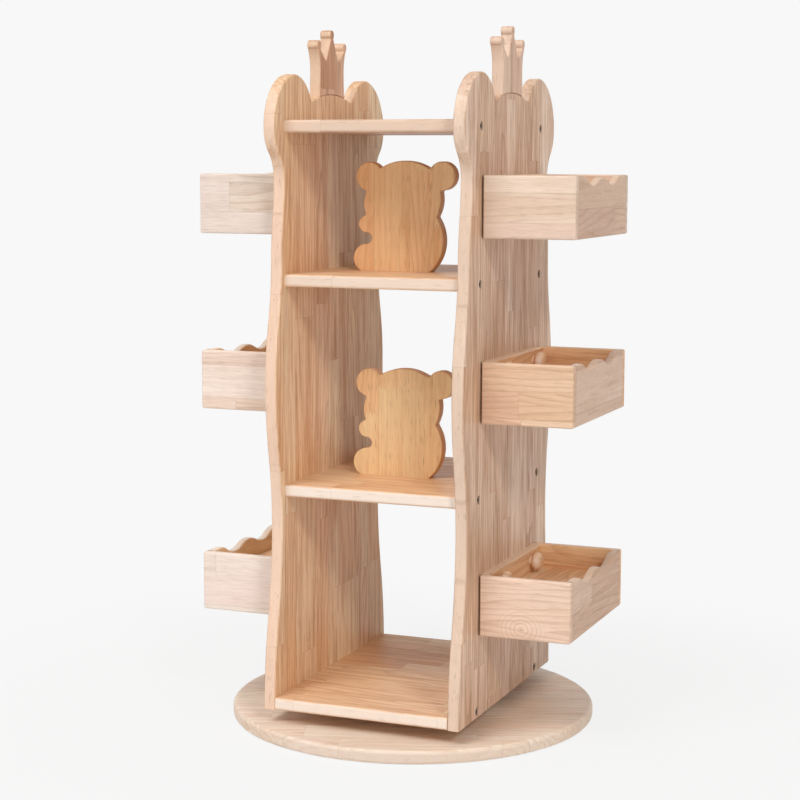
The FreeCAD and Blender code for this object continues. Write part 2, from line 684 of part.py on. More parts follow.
def crown_outline(seat):
    """The crown above the top of the head; its foot follows the arch of the head."""
    outer_neck, inner_neck, middle_neck = crown_neck_places()
    notch = crown_notch_place()
    tip_top = "sizes.crown_side_height + sizes.crown_middle_rise + sizes.crown_tip_diameter / 2"
    half = [
        ("sizes.crown_base_width / 2", seat, LEVEL_END),
        ("sizes.crown_waist_width / 2", "sizes.crown_waist_height", LEVEL_START),
        (*outer_neck, WHOLE_TIP_BULGE_SHARE),
        (*inner_neck, LINE),
        (*notch, LINE),
        (*middle_neck, HALF_TIP_BULGE_SHARE),
        ("0", tip_top, LINE),
    ]
    knots = mirrored(half)
    knots[-1] = (*knots[-1][:2], ABOVE_END)
    knots.append(("0", "0", ABOVE_START))
    return knots


def build_crown(side_name):
    side = SIDES[side_name]
    body = make_body(f"{side_name}_crown")
    half_base = "sizes.crown_base_width / 2"
    seat = f"(sqrt({HEAD_RADIUS}^2 - ({half_base})^2) - {HEAD_RADIUS})"
    outline = make_sketch(body, "YZ_Plane")
    draw_outline(outline, crown_outline(seat))
    pad(body, outline, "sizes.board_thickness")
    necks = [(way * number(y), number(z)) for y, z in crown_neck_places() for way in FRONT_AND_BACK]
    round_over(body, "sizes.crown_neck_round",
               lambda edge: any(lies_at(edge, "y", y) and lies_at(edge, "z", z) for y, z in necks))
    notch_y, notch_z = [number(place) for place in crown_notch_place()]
    round_over(body, "sizes.crown_notch_round",
               lambda edge: lies_at(edge, "z", notch_z) and abs(abs(edge.BoundBox.Center.y) - notch_y) < 1e-3)
    faces = (0, number("sizes.board_thickness"))
    foot = number("sizes.crown_edge_round")
    round_over(body, "sizes.crown_edge_round",
               lambda edge: edge.BoundBox.ZMax > foot and any(lies_at(edge, "x", face) for face in faces))
    dowels = make_sketch(body, "XY_Plane", seat)
    draw_circles(dowels, dowel_places(), DOWEL_HOLE)
    pocket(body, dowels, f"{DOWEL_HOLE_DEPTH} - {seat}", towards_plus=True)
    place_body(body, x="sizes.inner_width / 2" if side > 0 else f"-{OUTER_FACE}", z=HEAD_TOP)
    keep(body)


def build_dowels():
    body = make_body("dowel_pattern")
    outline = make_sketch(body, "XY_Plane", "-sizes.dowel_length / 2")
    draw_circles(outline, [("0", "0")], "sizes.dowel_diameter")
    pad(body, outline, "sizes.dowel_length")
    middle = "sizes.inner_width / 2 + sizes.board_thickness / 2"
    places = [placement_at(f"{side} * ({middle})", f"{way} * sizes.dowel_spread / 2", HEAD_TOP)
              for side in SIDES.values() for way in FRONT_AND_BACK]
    keep_group("crown_dowels", body, places)


def build_bear(shelf):
    body = make_body(shelf.replace("shelf", "bear_divider"))
    outline = make_sketch(body, "XZ_Plane", "-sizes.board_thickness / 2")
    knots = []
    for across, up, way in BEAR_OUTLINE_SHARES:
        knots.append((f"{across} * sizes.bear_width", f"{up} * {BEAR_HEIGHT}", way))
    draw_outline(outline, knots)
    pad(body, outline, "sizes.board_thickness")
    corners = [(number(x), number(z)) for x, z, way in knots[BEAR_CORNERS]]
    round_over(body, "sizes.bear_corner_round",
               lambda edge: any(lies_at(edge, "x", x) and lies_at(edge, "z", z) for x, z in corners))
    faces = [way * number("sizes.board_thickness") / 2 for way in FRONT_AND_BACK]
    round_over(body, "sizes.bear_edge_round",
               lambda edge: any(lies_at(edge, "y", face) for face in faces) and not lies_at(edge, "z", 0))
    holes = make_sketch(body, "XY_Plane")
    draw_circles(holes, bear_screw_places("0"), SCREW_HOLE)
    pocket(body, holes, "sizes.bear_screw_bite + sizes.drill_spare_depth", towards_plus=True)
    place_body(body, y="-sizes.bear_forward", z=f"{CABINET_BOTTOM} + {SHELF_HEIGHTS[shelf]}")
    keep(body)


def build_bear_screws():
    length = "(sizes.board_thickness + sizes.bear_screw_bite)"
    pattern = screw_pattern("bear_screw_pattern", length)
    places = []
    for shelf in BEAR_SHELVES:
        under = f"{CABINET_BOTTOM} + {SHELF_HEIGHTS[shelf]} - sizes.board_thickness"
        for x, y in bear_screw_places("sizes.bear_forward"):
            places.append(placement_at(x, y, under, "-z"))
    keep_group("bear_screws", pattern, places)


def build_bolts():
    """Connector bolts: the head's seat is at height zero, the shank runs down."""
    body = make_body("bolt_pattern")
    head = "sizes.bolt_head_diameter / 2"
    shank = "sizes.bolt_diameter / 2"
    revolve(body, [
        ("0", "-sizes.bolt_length", LINE),
        (f"{shank} / 2", "-sizes.bolt_length", LINE),
        (shank, f"-(sizes.bolt_length - {shank} / 2)", LINE),
        (shank, "0", LINE),
        (head, "0", LINE),
        (head, "sizes.bolt_head_height", LINE),
        ("0", "sizes.bolt_head_height", LINE),
    ])
    socket = make_sketch(body, "XY_Plane", "sizes.bolt_head_height")
    corner = "sizes.bolt_socket_width / sqrt(3)"
    draw_outline(socket, [(f"{corner} * cos({turn} deg)", f"{corner} * sin({turn} deg)", LINE)
                          for turn in range(0, 360, 60)])
    pocket(body, socket, "sizes.bolt_socket_depth")
    for side_name, side in SIDES.items():
        seat = f"{side} * ({OUTER_FACE} - {BOLT_HEAD_SEAT})"
        places = []
        for height in SHELF_HEIGHTS.values():
            level = f"{CABINET_BOTTOM} + {height} - sizes.board_thickness / 2"
            for way in FRONT_AND_BACK:
                head_way = "x" if side > 0 else "-x"
                places.append(placement_at(seat, f"{way} * {BOLT_SPREAD} / 2", level, head_way))
        keep_group(f"{side_name}_shelf_bolts", body, places)


# The bins


def knob_places(bin_height):
    """Places of a bin's two knobs on the panel, above the cabinet underside."""
    level = f"{bin_height} + sizes.bin_height - sizes.knob_drop"
    return [(f"{way} * ({BIN_END} - sizes.knob_inset)", level) for way in FRONT_AND_BACK]


def bin_side_wall(label, way):
    """The board across a bin's front or back end; way is -1 at the viewer's end."""
    body = make_body(label)
    outline = make_sketch(body, "XZ_Plane", f"{-way} * sizes.bin_width / 2")
    draw_rectangle(outline, "sizes.bin_wall_gap", "0", "sizes.bin_reach", "sizes.bin_height")
    pad(body, outline, "sizes.bin_wall", towards_minus=way < 0)
    outside = way * number("sizes.bin_width") / 2
    top = number("sizes.bin_height")
    start = number("sizes.bin_wall_gap")
    end = number("sizes.bin_reach")

    def shows(edge):
        on_the_face = lies_at(edge, "y", outside)
        on_the_rim = lies_at(edge, "z", top) and not lies_at(edge, "x", start)
        at_the_lower_corner = lies_at(edge, "z", 0) and lies_at(edge, "x", end)
        return on_the_face or on_the_rim or at_the_lower_corner

    round_over(body, "sizes.bin_edge_round", shows)
    return body


def bin_back(label):
    """The board that lies against the panel, with the two stud holes."""
    body = make_body(label)
    outline = make_sketch(body, "YZ_Plane")
    draw_rectangle(outline, f"-{BIN_END}", "0", BIN_END, "sizes.bin_height")
    pad(body, outline, "sizes.bin_wall")
    top = number("sizes.bin_height")
    inside = number("sizes.bin_wall")
    round_over(body, "sizes.bin_edge_round",
               lambda edge: lies_at(edge, "z", top) and lies_at(edge, "x", inside))
    holes = make_sketch(body, "YZ_Plane")
    draw_circles(holes, knob_places("0"), STUD_HOLE)
    pocket(body, holes, "sizes.bin_wall", towards_plus=True)
    return body


def bin_front(label):
    """The outer board, with the wavy upper edge."""
    body = make_body(label)
    outline = make_sketch(body, "YZ_Plane", "sizes.bin_reach - sizes.bin_wall")
    rim = "sizes.bin_height"
    land = (f"{BIN_END} - sizes.wave_land", rim)
    dip = (f"({BIN_END} - sizes.wave_land) / 2", f"{rim} - sizes.wave_dip_depth")
    crest = ("0", f"{rim} - sizes.wave_crest_drop")
    half = [(BIN_END, "0", LINE), (BIN_END, rim, LINE)]
    half += swing(land, dip, ABOVE_START, ABOVE_END)
    half += swing(dip, crest, ABOVE_START, ABOVE_END)
    half.append((*crest, LINE))
    draw_outline(outline, mirrored(half))
    pad(body, outline, "sizes.bin_wall")
    outside = number("sizes.bin_reach")
    inside = outside - number("sizes.bin_wall")
    ends = [way * number(BIN_END) for way in FRONT_AND_BACK]

    def along_the_board(edge):
        if any(lies_at(edge, "y", place) for place in ends):
            return False
        return lies_at(edge, "x", outside) or (lies_at(edge, "x", inside) and not lies_at(edge, "z", 0))

    round_over(body, "sizes.bin_edge_round", along_the_board)
    return body


def bin_floor(label):
    body = make_body(label)
    outline = make_sketch(body, "XY_Plane", "sizes.bin_floor_lift")
    draw_rectangle(outline, "sizes.bin_wall", f"-{BIN_END}", "sizes.bin_reach - sizes.bin_wall", BIN_END)
    pad(body, outline, "sizes.bin_floor_thickness")
    return body


def build_bin(side_name, level_name):
    """Five boards, drawn as for the right side; a left bin is the same box turned half round."""
    stem = f"{side_name}_{level_name}_bin"
    side = SIDES[side_name]
    near_way = -side
    boards = [
        bin_back(f"{stem}_back"),
        bin_front(f"{stem}_front"),
        bin_side_wall(f"{stem}_near_wall", near_way),
        bin_side_wall(f"{stem}_far_wall", -near_way),
        bin_floor(f"{stem}_floor"),
    ]
    for body in boards:
        if side < 0:
            body.Placement.Rotation = FreeCAD.Rotation(FreeCAD.Vector(0, 0, 1), 180)
        place_body(body, x=f"{side} * {OUTER_FACE}", z=f"{CABINET_BOTTOM} + {BIN_HEIGHTS[level_name]}")
        keep(body)


def knob_stud_inserts():
    """Patterns of knob, stud and insert; the wall's inner face is at height zero, the knob above it."""
    knob = make_body("knob_pattern")
    neck = "sizes.knob_neck_diameter / 2"
    wide = "sizes.knob_diameter / 2"
    revolve(knob, [
        ("0", "0", LINE),
        (neck, "0", LINE),
        (neck, "sizes.knob_neck_height", LEVEL_END),
        (wide, "(sizes.knob_length + sizes.knob_neck_height) / 2", LEVEL_START),
        ("sizes.knob_flat_diameter / 2", "sizes.knob_length", LINE),
        ("0", "sizes.knob_length", LINE),
    ])
    bore = make_sketch(knob, "XY_Plane")
    draw_circles(bore, [("0", "0")], STUD_HOLE)
    pocket(knob, bore, f"{STUD_IN_KNOB} + sizes.drill_spare_depth", towards_plus=True)
    stud = make_body("stud_pattern")
    rod = make_sketch(stud, "XY_Plane", f"-(sizes.bin_wall + {STUD_IN_PANEL})")
    draw_circles(rod, [("0", "0")], "sizes.stud_diameter")
    pad(stud, rod, f"sizes.bin_wall + {STUD_IN_PANEL} + {STUD_IN_KNOB}")
    insert = make_body("insert_pattern")
    sleeve = make_sketch(insert, "XY_Plane", "-sizes.bin_wall")
    draw_circles(sleeve, [("0", "0")], "sizes.insert_diameter")
    pad(insert, sleeve, INSERT_LENGTH, towards_minus=True)
    thread = make_sketch(insert, "XY_Plane", "-sizes.bin_wall")
    draw_circles(thread, [("0", "0")], STUD_HOLE)
    pocket(insert, thread, INSERT_LENGTH)
    return knob, stud, insert


def build_bin_fasteners():
    places = []
    for side in SIDES.values():
        for height in BIN_HEIGHTS.values():
            for across, up in knob_places(height):
                wall = f"{side} * ({OUTER_FACE} + sizes.bin_wall)"
                level = f"{CABINET_BOTTOM} + {up}"
                places.append(placement_at(wall, across, level, "x" if side > 0 else "-x"))
    for label, pattern in zip(("bin_knobs", "knob_studs", "panel_inserts"), knob_stud_inserts()):
        keep_group(label, pattern, places)


def check_and_write():
    doc.recompute()
    for item in doc.Objects:
        if "Invalid" in item.State or "Error" in item.State:
            raise ValueError(f"{item.Label} is {item.State}")
    for node in nodes:
        if node.Shape.isNull() or not node.Shape.isValid():
            raise ValueError(f"{node.Label} has no valid shape")
    os.makedirs("parts", exist_ok=True)
    for node in nodes:
        node.Shape.exportStep(f"parts/{node.Label}.step")
        print(node.Label, len(node.Shape.Solids), "solids", round(node.Shape.Volume), "cubic millimetres")


fill_sheet()
build_base_disc()
build_ring("bearing_outer_ring", 1, "0", 1, OUTER_RING_SCREWS)
build_ring("bearing_inner_ring", -1, "sizes.bearing_height", -1, INNER_RING_SCREWS)
build_cage()
build_balls()
build_ring_screws()
build_shelf("bottom_board", "sizes.panel_depth")
for shelf_name in ("lower_shelf", "upper_shelf", "top_shelf"):
    build_shelf(shelf_name, "sizes.shelf_depth")
for side_word in SIDES:
    build_panel(side_word)
    build_crown(side_word)
build_dowels()
for shelf_name in BEAR_SHELVES:
    build_bear(shelf_name)
build_bear_screws()
build_bolts()
for side_word in SIDES:
    for level_word in BIN_HEIGHTS:
        build_bin(side_word, level_word)
build_bin_fasteners()
check_and_write()
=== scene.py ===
# %% [markdown]
# # A wooden revolving bookcase, dressed for a photograph
#
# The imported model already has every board, bolt and bearing ball at its real size, in metres.
# This lesson adds what the shapes alone can't show: the finger-jointed hardwood, the metal of the
# bearing and its screws, a pale studio and a camera where the photographer stood.

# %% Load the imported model
import bpy
import math
from mathutils import Matrix, Vector

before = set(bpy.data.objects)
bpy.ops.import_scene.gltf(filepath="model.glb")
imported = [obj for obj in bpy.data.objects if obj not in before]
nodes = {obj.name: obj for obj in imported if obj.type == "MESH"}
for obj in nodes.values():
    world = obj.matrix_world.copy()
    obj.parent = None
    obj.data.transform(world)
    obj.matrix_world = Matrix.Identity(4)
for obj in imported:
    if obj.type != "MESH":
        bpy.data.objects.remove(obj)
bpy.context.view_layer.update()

# %% [markdown]
# ## Small helpers for node trees
#
# A shader is a graph, and writing one in Python is mostly adding nodes and linking sockets. A few
# short functions keep the later cells readable: they add a node, a piece of arithmetic, a soft
# step between two values, or a mix of two colours. Each takes sockets or plain numbers alike.

# %% Helpers for node trees
def put(tree, socket, value):
    if isinstance(value, bpy.types.NodeSocket):
        tree.links.new(value, socket)
    else:
        socket.default_value = value


def add_node(tree, kind, inputs=None, **settings):
    made = tree.nodes.new(kind)
    for name, value in settings.items():
        setattr(made, name, value)
    for key, value in (inputs or {}).items():
        put(tree, made.inputs[key], value)
    return made


def calc(tree, operation, *values, clamp=False):
    made = add_node(tree, "ShaderNodeMath", operation=operation, use_clamp=clamp)
    for socket, value in zip(made.inputs, values):
        put(tree, socket, value)
    return made.outputs[0]


def vector_calc(tree, operation, *values):
    made = add_node(tree, "ShaderNodeVectorMath", operation=operation)
    for socket, value in zip(made.inputs, values):
        put(tree, socket, value)
    return made.outputs[0]


def vector_length(tree, vector):
    return add_node(tree, "ShaderNodeVectorMath", {0: vector}, operation="LENGTH").outputs["Value"]


def soft_step(tree, value, low, high, at_low=0.0, at_high=1.0):
    made = add_node(tree, "ShaderNodeMapRange", interpolation_type="SMOOTHSTEP")
    for socket, number in zip(made.inputs, (value, low, high, at_low, at_high)):
        put(tree, socket, number)
    return made.outputs["Result"]


def mix_colour(tree, factor, first, second):
    made = add_node(tree, "ShaderNodeMix", data_type="RGBA")
    for index, value in ((0, factor), (6, first), (7, second)):
        put(tree, made.inputs[index], value)
    return made.outputs[2]


def split_vector(tree, vector):
    return add_node(tree, "ShaderNodeSeparateXYZ", {0: vector}).outputs


def join_vector(tree, x, y, z=0.0):
    return add_node(tree, "ShaderNodeCombineXYZ", {"X": x, "Y": y, "Z": z}).outputs[0]


print("helpers ready")

# %% [markdown]
# ## Helpers for node groups
#
# An effect that many materials share is a node group: it is built once, has named inputs and
# outputs, and every material places it with its own values.

# %% Helpers for node groups
def start_group(name, inputs, outputs):
    tree = bpy.data.node_groups.new(name, "ShaderNodeTree")
    for label, kind, default in inputs:
        socket = tree.interface.new_socket(label, in_out="INPUT", socket_type=f"NodeSocket{kind}")
        if default is not None:
            socket.default_value = default
    for label, kind in outputs:
        tree.interface.new_socket(label, in_out="OUTPUT", socket_type=f"NodeSocket{kind}")
    return tree, add_node(tree, "NodeGroupInput").outputs, add_node(tree, "NodeGroupOutput").inputs


def place_group(tree, group, inputs):
    made = tree.nodes.new("ShaderNodeGroup")
    made.node_tree = group
    for key, value in inputs.items():
        put(tree, made.inputs[key], value)
    return made.outputs


print("group helpers ready")

# %% [markdown]
# ## Boards glued up from strips
#
# The bookcase is made of finger-jointed hardwood: short blocks are cut with zigzag fingers, glued
# end to end into strips, and the strips are glued side by side into boards. What the eye reads is
# a patchwork of tones with thin seams. One could paint that, but a rule does it better: number
# the strip from the place across the board, number the block from the place along it, and let a
# white noise of both numbers choose the tone. A sine added to the strips' count makes some of
# them wider. A zigzag added to the place along the board turns each block's end into fingers, and
# with a finger length of zero the blocks end square, as on a face whose fingers are cut through
# the board's thickness and so don't show.

# %% Node group: strips and blocks
STRIP_WIDTH = 0.054
BLOCK_LENGTH = 0.32
FINGER_PITCH = 0.005
SWAY_RATE = 2.3
SWAY_REACH = 0.22
SHORTEST_BLOCK = 0.65
BLOCK_SPREAD = 0.7
STRIP_STAGGER = 9.0
SIDE_SEAM_WIDTH = 0.0008
END_SEAM_WIDTH = 0.0012
END_SEAM_STRENGTH = 0.7

layout, given, made = start_group(
    "strips_and_blocks",
    [("Vector", "Vector", None), ("Strip Width", "Float", STRIP_WIDTH),
     ("Block Length", "Float", BLOCK_LENGTH), ("Finger Pitch", "Float", FINGER_PITCH),
     ("Finger Length", "Float", 0.0), ("Seed", "Float", 0.0)],
    [("Tone", "Float"), ("Tint", "Float"), ("Shift", "Vector"), ("Seam", "Float")])
place = split_vector(layout, given["Vector"])
even_lane = calc(layout, "ADD", calc(layout, "DIVIDE", place["Y"], given["Strip Width"]), given["Seed"])
wave = calc(layout, "SINE", calc(layout, "MULTIPLY", even_lane, SWAY_RATE))
lane = calc(layout, "ADD", even_lane, calc(layout, "MULTIPLY", wave, SWAY_REACH))
strip = calc(layout, "FLOOR", lane)
strip_key = join_vector(layout, strip, given["Seed"])
strip_dice = add_node(layout, "ShaderNodeTexWhiteNoise", {"Vector": strip_key}).outputs
stagger = split_vector(layout, strip_dice["Color"])["Y"]
length_share = calc(layout, "MULTIPLY_ADD", strip_dice["Value"], BLOCK_SPREAD, SHORTEST_BLOCK)
length = calc(layout, "MULTIPLY", given["Block Length"], length_share)
half_pitch = calc(layout, "MULTIPLY", given["Finger Pitch"], 0.5)
zigzag = calc(layout, "DIVIDE", calc(layout, "PINGPONG", place["Y"], half_pitch), half_pitch)
fingers = calc(layout, "MULTIPLY", zigzag, given["Finger Length"])
along = calc(layout, "DIVIDE", calc(layout, "ADD", place["X"], fingers), length)
along = calc(layout, "MULTIPLY_ADD", stagger, STRIP_STAGGER, along)
block_key = join_vector(layout, strip, calc(layout, "FLOOR", along), given["Seed"])
block_dice = add_node(layout, "ShaderNodeTexWhiteNoise", {"Vector": block_key}).outputs


def distance_to_border(count, size):
    from_middle = calc(layout, "ABSOLUTE", calc(layout, "SUBTRACT", calc(layout, "FRACT", count), 0.5))
    return calc(layout, "MULTIPLY", calc(layout, "SUBTRACT", 0.5, from_middle), size)


side_border = distance_to_border(lane, given["Strip Width"])
end_border = distance_to_border(along, length)
side_seam = soft_step(layout, side_border, 0.0, SIDE_SEAM_WIDTH, 1.0, 0.0)
end_seam = soft_step(layout, end_border, 0.0, END_SEAM_WIDTH, END_SEAM_STRENGTH, 0.0)
put(layout, made["Tone"], block_dice["Value"])
put(layout, made["Tint"], split_vector(layout, block_dice["Color"])["Y"])
put(layout, made["Shift"], block_dice["Color"])
put(layout, made["Seam"], calc(layout, "MAXIMUM", side_seam, end_seam))
print("group", layout.name, len(layout.nodes), "nodes")

# %% [markdown]
# ## The figure of the wood
#
# Inside one block the wood shows streaks of several widths, a fine fibre, the open pores of
# rubberwood as short dark dashes along the grain, and growth rings, which run as lines or as
# pointed arches where the saw cut through a cone of rings. The rings are distances from an axis
# that every block gets for itself, so blocks sawn this way and that lie side by side as they do on
# the real boards. The streaks are noise stretched along the grain, the pores are the cells of a
# Voronoi texture, stretched too. A knot is a second set of rings around a point of the face.

# %% Node group: streaks and pores
RING_SPACING = 0.0085
NO_KNOT = (9.0, 9.0, 9.0)
KNOT_REACH = 0.02
BLOCK_SHIFT = (7.0, 5.0, 3.0)
PORE_DENSITY = (38.0, 820.0)
PORE_SIZE = (0.12, 0.36)
PORES_KEPT = (0.7, 1.15)
PORES_IN_STREAKS = 0.4
# Each noise has a scale along the grain, a scale across it, a detail and a roughness.
CLOUD_NOISE = (5.0, 30.0, 2.0, 0.5)
BROAD_NOISE = (5.0, 55.0, 4.0, 0.65)
MIDDLING_NOISE = (7.0, 130.0, 3.0, 0.6)
NARROW_NOISE = (10.0, 300.0, 4.0, 0.7)
FIBRE_NOISE = (40.0, 900.0, 2.0, 0.6)
BROAD_STEP = (0.42, 0.66)
MIDDLING_STEP = (0.45, 0.62)
NARROW_STEP = (0.5, 0.66)
BROAD_SHARE = 0.35
MIDDLING_SHARE = 0.35
NARROW_SHARE = 0.3


def stretched(tree, vector, along, across):
    return vector_calc(tree, "MULTIPLY", vector, (along, across, across))


def stretched_noise(tree, vector, along, across, detail, roughness):
    return add_node(tree, "ShaderNodeTexNoise", {
        "Vector": stretched(tree, vector, along, across), "Scale": 1.0,
        "Detail": detail, "Roughness": roughness}).outputs[0]


figure, given, made = start_group(
    "wood_figure",
    [("Vector", "Vector", None), ("Shift", "Vector", None), ("Ring Spacing", "Float", RING_SPACING),
     ("Knot Place", "Vector", NO_KNOT), ("Knot Reach", "Float", KNOT_REACH)],
    [("Rings", "Float"), ("Streak", "Float"), ("Fibre", "Float"), ("Cloud", "Float"),
     ("Pores", "Float"), ("Knot", "Float")])
moved = vector_calc(figure, "MULTIPLY_ADD", given["Shift"], BLOCK_SHIFT, given["Vector"])
cloud = stretched_noise(figure, moved, *CLOUD_NOISE)
broad = soft_step(figure, stretched_noise(figure, moved, *BROAD_NOISE), *BROAD_STEP)
middling = soft_step(figure, stretched_noise(figure, moved, *MIDDLING_NOISE), *MIDDLING_STEP)
narrow = soft_step(figure, stretched_noise(figure, moved, *NARROW_NOISE), *NARROW_STEP)
streak = calc(figure, "MULTIPLY", narrow, NARROW_SHARE)
streak = calc(figure, "MULTIPLY_ADD", middling, MIDDLING_SHARE, streak)
streak = calc(figure, "MULTIPLY_ADD", broad, BROAD_SHARE, streak)
pore_spots = add_node(figure, "ShaderNodeTexVoronoi", {
    "Vector": stretched(figure, moved, *PORE_DENSITY), "Scale": 1.0}, feature="F1").outputs
pore_dice = split_vector(figure, pore_spots["Color"])["X"]
pore_here = soft_step(figure, pore_spots["Distance"], *PORE_SIZE, 1.0, 0.0)
pore_chance = calc(figure, "MULTIPLY_ADD", broad, PORES_IN_STREAKS, pore_dice)
pore_kept = soft_step(figure, pore_chance, *PORES_KEPT)
put(figure, made["Streak"], streak)
put(figure, made["Fibre"], stretched_noise(figure, moved, *FIBRE_NOISE))
put(figure, made["Cloud"], cloud)
put(figure, made["Pores"], calc(figure, "MULTIPLY", pore_here, pore_kept))
print("streaks and pores:", len(figure.nodes), "nodes")

# %% Same group: rings and knot
HEART_ACROSS = {"spread": 0.16, "wrap": 0.06}
HEART_THROUGH = {"spread": 0.11, "wrap": 0.05}
TAPER = 0.2
RING_WAVER = 0.024
LATE_WOOD_POWER = 4.0
RING_END = (0.9, 1.0)
RINGS_SEEN = (0.25, 0.7)
FAINTEST_RINGS = 0.1
KNOT_SHAPE = (0.9, 1.0, 0.0)
KNOT_WAVER = 0.003
KNOT_RING = 0.0058
KNOT_LINE_POWER = 5.0
KNOT_LINE_END = (0.88, 1.0)
KNOT_CLEAR_SHARE = 0.3
KNOT_HEART = (0.002, 0.0036)
here = split_vector(figure, given["Vector"])
dice = split_vector(figure, given["Shift"])


def from_heart(coordinate, roll, spread, wrap):
    moved_by = calc(figure, "MULTIPLY_ADD", calc(figure, "SUBTRACT", roll, 0.5), spread, coordinate)
    return calc(figure, "WRAP", moved_by, wrap, -wrap)


heart_offset = join_vector(figure, from_heart(here["Y"], dice["X"], **HEART_ACROSS),
                           from_heart(here["Z"], dice["Z"], **HEART_THROUGH))
taper = calc(figure, "MULTIPLY", calc(figure, "SUBTRACT", dice["Y"], 0.5), TAPER)
ring_radius = calc(figure, "MULTIPLY_ADD", here["X"], taper, vector_length(figure, heart_offset))
ring_radius = calc(figure, "MULTIPLY_ADD", cloud, RING_WAVER, ring_radius)
ring_phase = calc(figure, "FRACT", calc(figure, "DIVIDE", ring_radius, given["Ring Spacing"]))
late_wood = calc(figure, "POWER", ring_phase, LATE_WOOD_POWER)
early_side = soft_step(figure, ring_phase, *RING_END, 1.0, 0.0)
ring_line = calc(figure, "MULTIPLY", late_wood, early_side)
ring_seen = soft_step(figure, dice["X"], *RINGS_SEEN, FAINTEST_RINGS, 1.0)
put(figure, made["Rings"], calc(figure, "MULTIPLY", ring_line, ring_seen))
knot_offset = vector_calc(figure, "SUBTRACT", given["Vector"], given["Knot Place"])
knot_flat = vector_calc(figure, "MULTIPLY", knot_offset, KNOT_SHAPE)
knot_radius = calc(figure, "MULTIPLY_ADD", cloud, KNOT_WAVER, vector_length(figure, knot_flat))
knot_phase = calc(figure, "FRACT", calc(figure, "DIVIDE", knot_radius, KNOT_RING))
knot_side = soft_step(figure, knot_phase, *KNOT_LINE_END, 1.0, 0.0)
knot_line = calc(figure, "MULTIPLY", calc(figure, "POWER", knot_phase, KNOT_LINE_POWER), knot_side)
knot_clear = calc(figure, "MULTIPLY", given["Knot Reach"], KNOT_CLEAR_SHARE)
knot_fade = soft_step(figure, knot_radius, knot_clear, given["Knot Reach"], 1.0, 0.0)
knot_heart = soft_step(figure, knot_radius, *KNOT_HEART, 1.0, 0.0)
knot_rings = calc(figure, "MULTIPLY", knot_line, knot_fade)
put(figure, made["Knot"], calc(figure, "MAXIMUM", knot_rings, knot_heart))
print("group", figure.name, len(figure.nodes), "nodes")

# %% [markdown]
# ## One lacquered board
#
# A board's finish joins the two groups. The block's number picks a tone between pale and honey and
# a tint towards rose or straw. Streaks, rings and fibre darken it, pores and seams draw the thin
# dark lines. The lacquer is matt and a little uneven, so roughness follows the streaks, and the
# pores and seams sink into the surface through a height for a Bump node.

# %% Node group: lacquered board
CLOUD_IN_TONE = 0.6
TINT_MOST = 0.7
ROSY_TINTS = (0.55, 1.0)
STRAW_TINTS = (0.0, 0.45)
END_GRAIN_SHARE = 0.3
FIBRE_STEP = (0.42, 0.7)
FIBRE_STRENGTH = 0.22
KNOT_STRENGTH = 0.9
# The edge colour is partly painted light: how far an edge's colour is from its face's is matched to how the
# edges are lit.
EDGE_SHARE = 0.88
SEAM_STRENGTH = 0.26
# The shade line input paints shade: a thin dark line where a bin's front meets its side walls, and at a
# wall's end in the narrow gap beside the panel.
SHADE_LINE_STRENGTH = 0.95
SEAM_DEPTH = 0.6
STREAK_DEPTH = 0.15
ROUGH_STEP = (0.1, 0.9)
SMOOTHEST = 0.44
ROUGHEST = 0.6

board, given, made = start_group(
    "lacquered_board",
    [("Vector", "Vector", None), ("Strip Width", "Float", STRIP_WIDTH),
     ("Block Length", "Float", BLOCK_LENGTH), ("Finger Length", "Float", 0.0), ("Seed", "Float", 0.0),
     ("Pale", "Color", None), ("Honey", "Color", None), ("Rosy", "Color", None), ("Straw", "Color", None),
     ("Streak", "Color", None), ("Pore", "Color", None), ("Edge", "Color", None),
     ("Honey Share", "Float", 0.9), ("Streak Strength", "Float", 0.9), ("Ring Strength", "Float", 1.0),
     ("Pore Strength", "Float", 0.5), ("Board Edge", "Float", 0.0), ("End Grain", "Float", 0.0),
     ("Shade Line", "Float", 0.0), ("Knot Place", "Vector", NO_KNOT), ("Knot Reach", "Float", KNOT_REACH)],
    [("Color", "Color"), ("Roughness", "Float"), ("Height", "Float")])
blocks = place_group(board, layout, {
    key: given[key] for key in ("Vector", "Strip Width", "Block Length", "Finger Length", "Seed")})
grain = place_group(board, figure, {
    "Vector": given["Vector"], "Shift": blocks["Shift"], "Knot Place": given["Knot Place"],
    "Knot Reach": given["Knot Reach"]})
honey_part = calc(board, "MULTIPLY", blocks["Tone"], given["Honey Share"])
cloudiness = calc(board, "SUBTRACT", grain["Cloud"], 0.5)
honey_part = calc(board, "MULTIPLY_ADD", cloudiness, CLOUD_IN_TONE, honey_part, clamp=True)
rosy_part = soft_step(board, blocks["Tint"], *ROSY_TINTS, 0.0, TINT_MOST)
straw_part = soft_step(board, blocks["Tint"], *STRAW_TINTS, TINT_MOST, 0.0)
fibre = soft_step(board, grain["Fibre"], *FIBRE_STEP)
colour = mix_colour(board, honey_part, given["Pale"], given["Honey"])
colour = mix_colour(board, rosy_part, colour, given["Rosy"])
colour = mix_colour(board, straw_part, colour, given["Straw"])
for mask, strength, shade in (
        (given["End Grain"], END_GRAIN_SHARE, "Honey"),
        (grain["Streak"], given["Streak Strength"], "Streak"),
        (grain["Rings"], given["Ring Strength"], "Streak"),
        (fibre, FIBRE_STRENGTH, "Streak"),
        (grain["Knot"], KNOT_STRENGTH, "Streak"),
        (given["Board Edge"], EDGE_SHARE, "Edge"),
        (grain["Pores"], given["Pore Strength"], "Pore"),
        (blocks["Seam"], SEAM_STRENGTH, "Pore"),
        (given["Shade Line"], SHADE_LINE_STRENGTH, "Pore")):
    colour = mix_colour(board, calc(board, "MULTIPLY", mask, strength), colour, given[shade])
